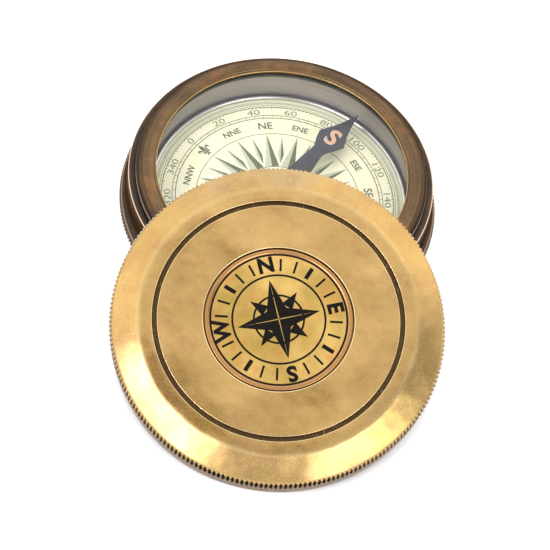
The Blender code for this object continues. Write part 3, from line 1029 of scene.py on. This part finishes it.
def blade_outline():
    """Flat outline of the blade: from the hub out to a broad arrowhead, the same at both ends."""
    side = [
        (2.55, 2.55), (1.7, 5.3), (1.7, 14.6), (3.05, 17.3), (3.8, 19.3), (2.36, 22.3),
        (1.37, 24.8),
    ]
    arm = side + [(0.0, NEEDLE_REACH)] + [(-x, y) for x, y in reversed(side)]
    return arm + [(-x, -y) for x, y in arm]


def blade_hole():
    turns = [2 * pi * k / BLADE_HOLE_STEPS for k in range(BLADE_HOLE_STEPS)]
    return [(BLADE_HOLE * cos(turn), BLADE_HOLE * sin(turn)) for turn in turns]


def make_blade(finish, place):
    """Flat steel with rounded edges."""
    curve = bpy.data.curves.new("blade", 'CURVE')
    curve.dimensions = '2D'
    curve.fill_mode = 'BOTH'
    curve.extrude = (BLADE_THICKNESS / 2 - BLADE_EDGE) * MM
    curve.bevel_depth = BLADE_EDGE * MM
    curve.bevel_resolution = 2
    curve.offset = -BLADE_EDGE * MM
    for outline in (blade_outline(), blade_hole()):
        spline = curve.splines.new('POLY')
        spline.points.add(len(outline) - 1)
        for point, (x, y) in zip(spline.points, outline):
            point.co = (x * MM, y * MM, 0.0, 1.0)
        spline.use_cyclic_u = True
    mesh = welded("blade", [mesh_of(curve)], BLADE_WELD)
    mesh.transform(Matrix.Translation((0, 0, (BLADE_BOTTOM + BLADE_THICKNESS / 2) * MM)))
    write_numbers(mesh, "local", 'FLOAT_VECTOR', [tuple(v.co / MM) for v in mesh.vertices])
    piece = smooth_shaded(make_object("blade", mesh, finish, place), sharp=50.0)
    settle(piece, "needle", "needle_blade")


def make_needle_letters(orange, pale, place):
    """A letter at each end, orange on a bolder pale one that shows as its edge."""
    bottom = BLADE_BOTTOM + BLADE_THICKNESS + INK_GAP
    ends = [
        ("S", 0.0, NEEDLE_LETTER_RADIUS, NEEDLE_LETTER_SIZE),
        ("N", 180.0, NEEDLE_LETTER_RADIUS, NEEDLE_LETTER_SIZE),
    ]
    settle(lettering("letter_edges", ends, pale, bottom, place, bold=0.16), "needle")
    upper = bottom + INK_THICKNESS
    settle(lettering("letters", ends, orange, upper, place, bold=0.06), "needle")


def make_hub_cap(finish):
    """Domed hub with a flange, hollow underneath for the jewel."""
    corners = [
        corner(0.0, CAP_TOP),
        corner(1.1, CAP_TOP - 0.25, soft=0.3),
        corner(1.6, CAP_FLANGE_TOP + 0.05, soft=0.1, wear=0.5),
        corner(CAP_FLANGE, CAP_FLANGE_TOP, soft=0.1, wear=0.6),
        corner(CAP_FLANGE, CAP_FLANGE_BOTTOM, soft=0.08),
        corner(CAP_NECK, CAP_FLANGE_BOTTOM),
        corner(CAP_NECK, CAP_BOTTOM, soft=0.1),
        corner(CAP_BORE, CAP_BOTTOM, soft=0.1),
        corner(CAP_BORE, CAP_BORE_TOP),
        corner(0.0, CAP_BORE_TOP),
    ]
    piece = lathe("hub_cap", corners, finish, steps=SMALL_TURN_STEPS)
    settle(piece, "needle", "needle_cap")


# ---------------------------------------------------------------------- lid

def lid_place():
    """Where the lid leans: tilted on the case's front, and turned about its own axis."""
    tilt = Matrix.Rotation(radians(LID_TILT), 4, 'X')
    turn = Matrix.Rotation(radians(LID_TURN), 4, 'Z')
    return Matrix.Translation(Vector(LID_CENTRE) * MM) @ tilt @ turn


def make_lid(finish, place):
    """Screw-on lid: a recess, a groove, a bevel, a knurled edge, a lip and a threaded bore."""
    groove_floor = LID_HEIGHT - GROOVE_DEPTH
    corners = [
        corner(0.0, RECESS_FLOOR, dirt=0.4),
        corner(RECESS, RECESS_FLOOR, soft=0.1, dirt=0.7),
        corner(RECESS, LID_HEIGHT, soft=0.14, wear=1.0),
        corner(GROOVE_INNER, LID_HEIGHT, soft=0.09, wear=1.0),
        corner(GROOVE_INNER, groove_floor, soft=0.06, dirt=GROOVE_DIRT),
        corner(GROOVE_OUTER, groove_floor, soft=0.06, dirt=GROOVE_DIRT),
        corner(GROOVE_OUTER, LID_HEIGHT, soft=0.09, wear=1.0),
        corner(LID_FLAT - 2.0, LID_HEIGHT - 0.02, soft=0.9),
        corner(LID_FLAT, LID_HEIGHT - 0.22, soft=0.5, wear=0.1),
        corner((LID_FLAT + LID_EDGE) / 2, (LID_HEIGHT + LID_BEVEL_FOOT) / 2, soft=1.6),
        corner(LID_EDGE - 0.8, LID_BEVEL_FOOT + 0.36),
        corner(LID_EDGE - 0.55, LID_BEVEL_FOOT + 0.25),
        corner(LID_EDGE, LID_BEVEL_FOOT, soft=0.08, wear=0.5),
        corner(LID_EDGE + 0.1, LID_BEVEL_FOOT - 0.4, dirt=0.1),
        corner(OUTER, LID_LIP_TOP + 0.3, soft=0.12, wear=0.2, dirt=0.3),
        corner(LID_LIP, LID_LIP_TOP, soft=0.08, dirt=0.9),
        corner(LID_LIP, 0.0, soft=0.2, wear=0.2, dirt=0.6),
        corner(LID_BORE, 0.0, soft=0.15, wear=0.5, dirt=0.2),
        *reversed(ridges(LID_BORE, -THREAD_DEPTH, LID_THREAD_TOP, 3, 0.5)),
        corner(LID_BORE, LID_CEILING, soft=0.3, dirt=0.5),
        corner(0.0, LID_CEILING),
    ]
    piece = lathe("lid", corners, finish, knurl=(LID_LIP_TOP, LID_BEVEL_FOOT), place=place)
    settle(piece, "lid", "lid_shell")


def make_medallion(finish, place):
    """Disc in the lid's recess, with a low raised rim."""
    bottom = RECESS_FLOOR + GAP
    rim_top = MEDALLION_TOP + MEDALLION_RIM_HEIGHT
    corners = [
        corner(0.0, MEDALLION_TOP),
        corner(MEDALLION_RIM - 0.4, MEDALLION_TOP),
        corner(MEDALLION_RIM - 0.25, MEDALLION_TOP, soft=0.05, dirt=0.9),
        corner(MEDALLION_RIM, rim_top, soft=0.1, dirt=0.9),
        corner(MEDALLION - 0.15, rim_top, soft=0.1, dirt=0.8),
        corner(MEDALLION, MEDALLION_TOP, soft=0.1, dirt=1.0),
        corner(MEDALLION, bottom, soft=0.05, dirt=0.8),
        corner(0.0, bottom),
    ]
    piece = lathe("medallion", corners, finish, place=place)
    settle(piece, "lid", "lid_medallion")


def mark_outlines():
    """Plain marks between the four letters, with a wide one halfway."""
    marks = []
    for degree in range(0, 360, 15):
        if degree % 90 != 0:
            width = WIDE_MARK_WIDTH if degree % 45 == 0 else MARK_WIDTH
            marks.append(bar(degree, MARK_INNER, MARK_OUTER, width))
    return marks


def star_outlines():
    """Four long points, each split down its middle, and four short ones between them."""
    outlines = []
    for quarter in range(4):
        bearing = 90.0 * quarter
        tip = at(bearing, STAR_TIP)
        split_x, split_y = at(bearing + 90.0, STAR_SPLIT)
        for side in (-1, 1):
            foot = (split_x * side, split_y * side)
            outlines.append([foot, tip, at(bearing + 45.0 * side, STAR_WAIST)])
        between = bearing + 45.0
        outlines.append([
            at(between, STAR_SHORT_FOOT),
            at(between - STAR_SHORT_SPREAD, STAR_SHORT_SHOULDER),
            at(between, STAR_SHORT_TIP),
            at(between + STAR_SHORT_SPREAD, STAR_SHORT_SHOULDER),
        ])
    return outlines


def make_enamel(enamel, place):
    """Rings, the letters of the four winds, marks between them, and a star a little thicker."""
    for name, radius in ENAMEL_RINGS:
        piece = circle_band(
            "enamel_ring_" + name, radius, ENAMEL_RING_WIDTH, enamel, ENAMEL_BOTTOM, place
        )
        settle(piece, "lid")
    words = []
    for i, letter in enumerate("NESW"):
        words.append((letter, 90.0 * i, ENAMEL_LETTER_RADIUS, ENAMEL_LETTER_SIZE))
    settle(lettering("enamel_letters", words, enamel, ENAMEL_BOTTOM, place, bold=0.2), "lid")
    settle(prisms("enamel_marks", mark_outlines(), enamel, ENAMEL_BOTTOM, place=place), "lid")
    thick = INK_THICKNESS * 2
    settle(prisms("enamel_star", star_outlines(), enamel, ENAMEL_BOTTOM, thick, place), "lid")


# ------------------------------------------------------------- inner pieces

def finish_inner_pieces():
    """CAD pieces that keep their shape and only take a material."""
    inner_brass = grained("plain brass", (0.42, 0.28, 0.11), (0.6, 0.42, 0.19), 0.34, 1.0)
    finishes = {
        "dial_plate": inner_brass,
        "pivot_post": inner_brass,
        "pivot_washer": inner_brass,
        "pivot_pin": bright_steel(),
        "cap_jewel": grained("red stone", (0.35, 0.015, 0.02), (0.5, 0.03, 0.035), 0.1),
        "glass_gasket": grained("gasket", (0.07, 0.074, 0.072), (0.10, 0.104, 0.10), 0.6),
    }
    for node, finish in finishes.items():
        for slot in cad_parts[node].material_slots:
            slot.material = finish


# ------------------------------------------------------------------- studio

def make_floor():
    """A wide floor, a hair below the object."""
    height = -FLOOR_DROP * MM
    bpy.ops.mesh.primitive_plane_add(size=FLOOR_SIZE * MM, location=(0.0, 0.0, height))
    floor = bpy.context.object
    floor.name = "studio_floor"
    floor.data.materials.append(floor_material())


def direction(azimuth, elevation):
    """Unit vector towards a place round the object. Azimuth 0 is in front, 90 at the right."""
    a, e = radians(azimuth), radians(elevation)
    return Vector((sin(a) * cos(e), -cos(a) * cos(e), sin(e)))


def make_world():
    """A bright pale room with a few soft brighter and darker places."""
    world = bpy.data.worlds.new("studio")
    bpy.context.scene.world = world
    world.use_nodes = True
    nodes = Nodes(world.node_tree)
    where = nodes.add("ShaderNodeTexCoord", {}, "Generated")
    height = nodes.parts(where)[2]
    room = nodes.mix(nodes.span(height, 0.2, 0.75), ROOM_LOW, ROOM_HIGH)
    for azimuth, elevation, inner, outer, change in ROOM_PLACES:
        towards = nodes.vector_math('DOT_PRODUCT', where, direction(azimuth, elevation), "Value")
        amount = nodes.span(towards, cos(radians(outer)), cos(radians(inner)))
        room = nodes.vector_math('ADD', room, nodes.vector_math('MULTIPLY', amount, change))
    nodes.fill(nodes.tree.nodes["Background"].inputs["Color"], room)


def softbox(name, azimuth, elevation, width, height, brightness, colour):
    """An oval area light. Its width and height are angles, as the object sees them."""
    distance = LIGHT_DISTANCE * MM
    light = bpy.data.lights.new(name, 'AREA')
    light.shape = 'ELLIPSE'
    light.size = 2 * distance * tan(radians(width / 2))
    light.size_y = 2 * distance * tan(radians(height / 2))
    light.energy = brightness * pi * (pi / 4) * light.size * light.size_y
    light.color = colour
    lamp = bpy.data.objects.new(name, light)
    bpy.context.scene.collection.objects.link(lamp)
    back = direction(azimuth, elevation)
    lamp.location = Vector(LIGHT_AIM) * MM + back * distance
    lamp.rotation_euler = back.to_track_quat('Z', 'Y').to_euler()
    return lamp


def make_lights():
    """Softboxes that the metal mirrors, and one overhead that it doesn't."""
    for box in SOFTBOXES:
        softbox(*box)
    softbox(*OVERHEAD).visible_glossy = False


def make_camera(azimuth, elevation, roll, distance, lens, aim):
    """A camera that looks at aim, rolled about its own line of sight."""
    turn = radians(roll)
    back = direction(azimuth, elevation)
    right = Vector((0.0, 0.0, 1.0)).cross(back).normalized()
    up = back.cross(right)
    camera_right = right * cos(turn) + up * sin(turn)
    camera_up = up * cos(turn) - right * sin(turn)
    data = bpy.data.cameras.new("camera")
    data.lens = lens
    data.sensor_width = 36.0
    data.clip_start = 0.01
    camera = bpy.data.objects.new("camera", data)
    bpy.context.scene.collection.objects.link(camera)
    turned = Matrix((camera_right, camera_up, back)).transposed().to_4x4()
    middle = Vector(aim) * MM + back * distance * MM
    camera.matrix_world = Matrix.Translation(middle) @ turned
    bpy.context.scene.camera = camera


def main():
    bpy.context.scene.view_settings.view_transform = 'Standard'
    aim = (1.4, -25.6, 7.0)
    make_camera(azimuth=-2.0, elevation=55.0, roll=9.3, distance=490.0, lens=138.5, aim=aim)

    dark_brass = bezel_brass()
    gold = medallion_brass()
    make_case(case_brass())
    make_bezel(dark_brass)
    make_retainer(dark_brass)
    make_pane(clear_glass())
    make_sleeve(satin_silver())
    make_dial_ring(bright_silver())

    inks = dial_inks()
    make_card(card_paper())
    make_dial_scales(inks)
    make_point_names(inks["dark"])
    make_north_mark(inks["dark"])
    make_rose(inks["dark"], inks["grey"])

    needle_place = Matrix.Rotation(-radians(NEEDLE_BEARING), 4, 'Z')
    make_blade(slate_enamel(), needle_place)
    make_needle_letters(orange_paint(), pale_paint(), needle_place)
    make_hub_cap(gold)

    place = lid_place()
    make_lid(lid_brass(), place)
    make_medallion(gold, place)
    make_enamel(black_enamel(), place)
    finish_inner_pieces()

    make_floor()
    make_world()
    make_lights()


main()
